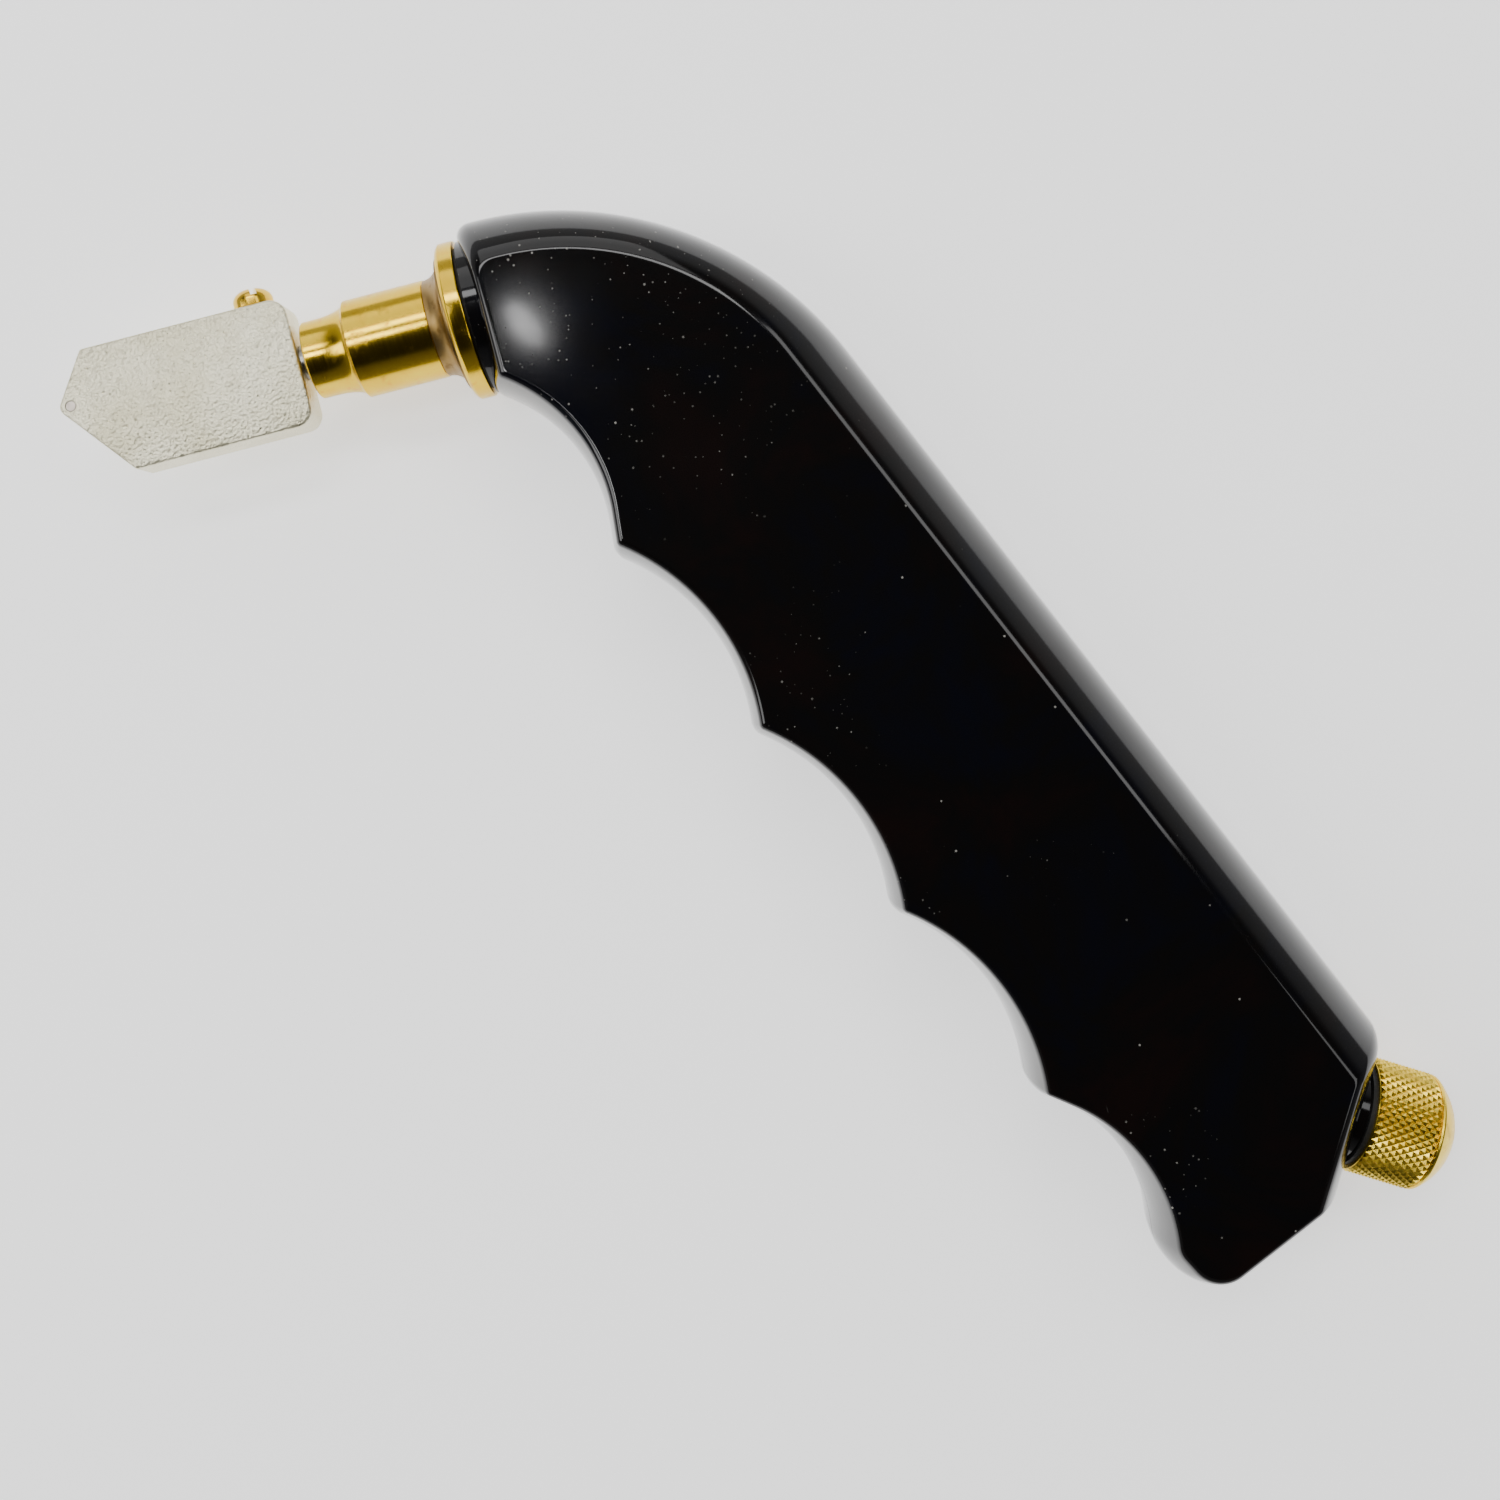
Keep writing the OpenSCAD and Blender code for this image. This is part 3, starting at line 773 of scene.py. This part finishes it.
def makeScrew():
    s = screw
    root, crest = s["rootRadius"], s["crestRadius"]
    profile = [(-5.55, 0), (-5.55, 0.75), (-5.35, 0.95), (-4.6, 0.95), (-4.6, 1.05)]
    x = s["threadStart"]
    while x < s["threadEnd"]:
        profile += [(x, root), (x + 0.18, crest), (x + 0.24, crest), (x + 0.42, root)]
        x += s["threadPitch"]
    profile += [(-0.1, 1.05), (0.0, 1.25), (0.0, s["headRadius"] - 0.12), (0.12, s["headRadius"]),
                (s["rim"], s["headRadius"])]
    for k in range(1, 12):
        w = math.radians(90 * k / 12)
        profile.append((s["rim"] + s["dome"] * math.sin(w), s["headRadius"] * math.cos(w) ** 0.8))
    profile.append((s["rim"] + s["dome"], 0))
    piece = turnedPiece("headScrew", profile, 72)
    top = s["rim"] + s["dome"]
    cutter = blockCutter((top - s["slotDepth"], -s["slotWidth"] / 2, -4), (top + 1, s["slotWidth"] / 2, 4))
    putMesh(cutter, Matrix.Rotation(math.radians(s["slotTurn"]), 4, "X"))
    cutAway(piece, [cutter])
    putMesh(piece, Matrix.Translation(Vector(s["place"]) * mm) @ Matrix.Rotation(math.pi / 2, 4, "Z"))
    brass = makeBrass("screwBrass", (0.8, 0.5, 0.045, 1), 0.18, turned=False, tarnish=0.4)
    finishPiece(piece, "screw", [brass], ["swivel_screw"])


makeScrew()
print("head, wheel and screw done")


# the filler cap is brass, with a diamond knurl and a domed end

cap = {
    "radius": 6.15,
    "base": 0.54,
    "band": 6.9,
    "dome": 3.2,
    "around": 46,
    "rows": 6,
    "depth": 0.25,
    "tipRise": 1.25,  # height of the knurl's points before they are cut back, as a share of the depth
    "tipFlat": 0.19,  # how far they are cut back
    "spigot": 3.5,
    "threadStart": -5.2,
    "threadEnd": -0.6,
    "threadPitch": 1.0,
}


def makeCap():
    c = cap
    core = c["radius"] - c["depth"]
    top = c["base"] + c["band"]
    ball = (c["radius"] ** 2 + c["dome"] ** 2) / (2 * c["dome"])
    rim = math.asin((c["radius"] - 0.1) / ball)
    dome = []
    for k in range(16):
        w = rim * (1 - k / 16)
        dome.append((top - 0.02 + ball * math.cos(w) - ball + c["dome"], ball * math.sin(w)))
    crest, root = c["spigot"], c["spigot"] - 0.45
    thread = []
    x = c["threadStart"]
    while x < c["threadEnd"]:
        thread += [(x, root), (x + 0.3, crest), (x + 0.45, crest), (x + 0.75, root)]
        x += c["threadPitch"]
    profile = [(-1.0, 0), (-1.0, 2.2), (-6.0, 2.2), (-6.0, c["spigot"] - 0.5)] + thread
    profile += [(c["base"] - 0.02, root), (c["base"] - 0.02, core), (top - 0.25, core),
                (top - 0.2, c["radius"] - 0.12), (top - 0.05, c["radius"] - 0.06)]
    profile += dome + [(top + c["dome"], 0)]
    piece = turnedPiece("fillerCap", profile, 120)
    band = makeKnurl(core)
    useOnly(piece)
    band.select_set(True)
    bpy.context.view_layer.objects.active = piece
    bpy.ops.object.join()
    piece = bpy.context.object
    turn = Matrix.Rotation(capAngle, 4, "Z")
    putMesh(piece, Matrix.Translation(capBase * mm) @ turn)
    finishPiece(piece, "cap", [capBrass], ["filler_cap"], 24)


def makeKnurl(core):
    # a grid whose cells are poked into crossing lines, cleared to diamonds, raised and wrapped round
    c = cap
    clearSelection()
    bpy.ops.mesh.primitive_grid_add(x_subdivisions=c["rows"], y_subdivisions=c["around"], size=1)
    band = bpy.context.object
    bpy.ops.object.mode_set(mode="EDIT")
    bpy.ops.mesh.select_mode(type="FACE")
    bpy.ops.mesh.select_all(action="SELECT")
    bpy.ops.mesh.poke(offset=0)
    bpy.ops.mesh.select_mode(type="EDGE")
    bpy.ops.mesh.select_all(action="DESELECT")
    shape = bmesh.from_edit_mesh(band.data)
    for edge in shape.edges:
        a, b = (v.co for v in edge.verts)
        edge.select = (abs(a.x - b.x) < 1e-5 or abs(a.y - b.y) < 1e-5) and len(edge.link_faces) == 2
    bmesh.update_edit_mesh(band.data)
    bpy.ops.mesh.dissolve_edges(use_verts=False)
    bpy.ops.mesh.select_mode(type="FACE")
    bpy.ops.mesh.select_all(action="SELECT")
    shape = bmesh.from_edit_mesh(band.data)
    grooves = {(round(v.co.x, 4), round(v.co.y, 4)) for v in shape.verts}
    bpy.ops.mesh.poke(offset=0)
    shape = bmesh.from_edit_mesh(band.data)
    bpy.ops.mesh.select_mode(type="VERT")
    bpy.ops.mesh.select_all(action="DESELECT")
    for v in shape.verts:
        onEdge = abs(abs(v.co.x) - 0.5) < 1e-4
        v.select = (round(v.co.x, 4), round(v.co.y, 4)) not in grooves and not onEdge
    bmesh.update_edit_mesh(band.data)
    tips = [v for v in shape.verts if v.select]
    for v in tips:
        v.co.z = c["depth"] * c["tipRise"]
    bmesh.update_edit_mesh(band.data)
    bpy.ops.mesh.bevel(offset=c["tipFlat"], offset_type="PERCENT", segments=1, affect="VERTICES")
    shape = bmesh.from_edit_mesh(band.data)
    for v in shape.verts:  # wrapped round the axis
        along = c["base"] + 0.03 + (v.co.x + 0.5) * (c["band"] - 0.28)
        w = (v.co.y + 0.5) * 2 * math.pi
        r = core + min(max(v.co.z, 0), c["depth"])
        v.co = Vector((along, r * math.cos(w), r * math.sin(w))) * mm
    bmesh.update_edit_mesh(band.data)
    bpy.ops.mesh.select_all(action="SELECT")
    bpy.ops.mesh.remove_doubles(threshold=2e-6)
    bpy.ops.object.mode_set(mode="OBJECT")
    return band


makeCap()
print("filler cap done")


# finishes on the parts that keep their own shape

finishes = {
    "front_insert": turnedBrass,
    "neck_gasket": sealRubber,
    "guide_seal": sealRubber,
    "spring_retainer": turnedBrass,
    "rear_washer": springSteel,
    "wick": oilFelt,
    "filler_insert": capBrass,
    "stem": stemSteel,
    "front_washer": springSteel,
    "socket_seal": sealRubber,
    "return_spring": springSteel,
    "cap_gasket": sealRubber,
}
for name, material in finishes.items():
    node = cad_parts[name]
    for slot in node.material_slots:
        slot.material = material


# camera, floor and lights

view = {
    "place": (7.8, -40.05, 188.0),  # above the grip, in mm
    "roll": -14.6,  # degrees, so that the neck rises to the right
    "lens": 40.8,
    "sensor": 36,
    "shiftX": -0.0133,
    "shiftY": -0.0767,
}
studio = {
    "horizon": 0.55,  # brightness of the room near the floor
    "zenith": 0.04,  # the dark ceiling that the flat side mirrors
    "back": 0.35,  # how much of the horizon is left behind the viewer
}


def makeCamera():
    data = bpy.data.cameras.new("viewCamera")
    data.lens = view["lens"]
    data.sensor_width = view["sensor"]
    data.shift_x = view["shiftX"]
    data.shift_y = view["shiftY"]
    data.clip_start = 0.005
    data.clip_end = 20
    camera = bpy.data.objects.new("viewCamera", data)
    camera.location = [v * mm for v in view["place"]]
    camera.rotation_euler = (0, 0, math.radians(view["roll"]))
    bpy.context.scene.collection.objects.link(camera)
    bpy.context.scene.camera = camera


def makeFloor():
    clearSelection()
    bpy.ops.mesh.primitive_plane_add(size=6, location=(0, 0, 0))
    floor = bpy.context.object
    floor.name = "floor"
    paper = Shader("floorPaper", {
        "Base Color": (0.9, 0.9, 0.9, 1), "Roughness": 0.9, "Specular IOR Level": 0.1,
        "Emission Color": (1, 1, 1, 1), "Emission Strength": 1.1})
    floor.data.materials.append(paper.material)


def makeWorld():
    world = bpy.data.worlds.new("softRoom")
    bpy.context.scene.world = world
    world.use_nodes = True
    nodes, links = world.node_tree.nodes, world.node_tree.links
    background = next(n for n in nodes if n.type == "BACKGROUND")
    spot = nodes.new("ShaderNodeTexCoord")
    split = nodes.new("ShaderNodeSeparateXYZ")
    height = nodes.new("ShaderNodeValToRGB")
    side = nodes.new("ShaderNodeMapRange")
    blend = nodes.new("ShaderNodeMath")
    blend.operation = "MULTIPLY"
    links.new(spot.outputs["Generated"], split.inputs[0])
    links.new(split.outputs["Z"], height.inputs["Fac"])
    links.new(split.outputs["Y"], side.inputs["Value"])
    side.inputs["From Min"].default_value = -0.1
    side.inputs["From Max"].default_value = 0.35
    side.inputs["To Min"].default_value = studio["back"]
    side.inputs["To Max"].default_value = 1
    links.new(height.outputs["Color"], blend.inputs[0])
    links.new(side.outputs["Result"], blend.inputs[1])
    links.new(blend.outputs[0], background.inputs["Color"])
    bright, dark = studio["horizon"], studio["zenith"]
    stops = [(0.0, bright), (0.3, bright * 0.8), (0.5, 0.3), (0.64, dark), (1.0, dark)]
    ramp = height.color_ramp
    while len(ramp.elements) < len(stops):
        ramp.elements.new(0.5)
    for element, (place, level) in zip(ramp.elements, stops):
        element.position = place
        element.color = (level, level, level, 1)


def makeLamp(name, azimuth, tilt, size, strength, distance, shape="RECTANGLE"):
    # azimuth in degrees from +X towards +Y, tilt in degrees from straight up
    target = Vector((0, -35, midZ))
    a, t = math.radians(azimuth), math.radians(tilt)
    way = Vector((math.cos(a) * math.sin(t), math.sin(a) * math.sin(t), math.cos(t)))
    data = bpy.data.lights.new(name, "AREA")
    data.shape = shape
    data.size, data.size_y = size[0] * mm, size[1] * mm
    area = size[0] * size[1] * mm * mm * (math.pi / 4 if shape == "ELLIPSE" else 1)
    data.energy = strength * math.pi * area
    lamp = bpy.data.objects.new(name, data)
    lamp.location = (target + way * distance) * mm
    lamp.rotation_mode = "QUATERNION"
    lamp.rotation_quaternion = (-way).to_track_quat("-Z", "Y")
    bpy.context.scene.collection.objects.link(lamp)
    return lamp


def makeLamps():
    makeLamp("windowSoft", 92, 53, (620, 480), 1.35, 800)
    makeLamp("creaseStrip", 92, 28, (620, 130), 7.0, 800)
    makeLamp("leftFill", 172, 48, (260, 420), 4.5, 700)
    makeLamp("headSoft", 150, 19, (86, 86), 16.0, 600)
    makeLamp("spineSoft", 20, 38, (420, 150), 3.2, 800)
    makeLamp("facetSoft", -32, 42, (300, 150), 2.4, 800)
    spot = makeLamp("ovalLamp", 0, 0, (8, 19), 30.0, 500, "ELLIPSE")
    spot.location = Vector((-53, 99, 500)) * mm
    spot.rotation_quaternion = (Vector((-8, -3, 18)) * mm - spot.location).to_track_quat("-Z", "Y")


makeCamera()
makeFloor()
makeWorld()
makeLamps()
print("camera, floor and lights done")
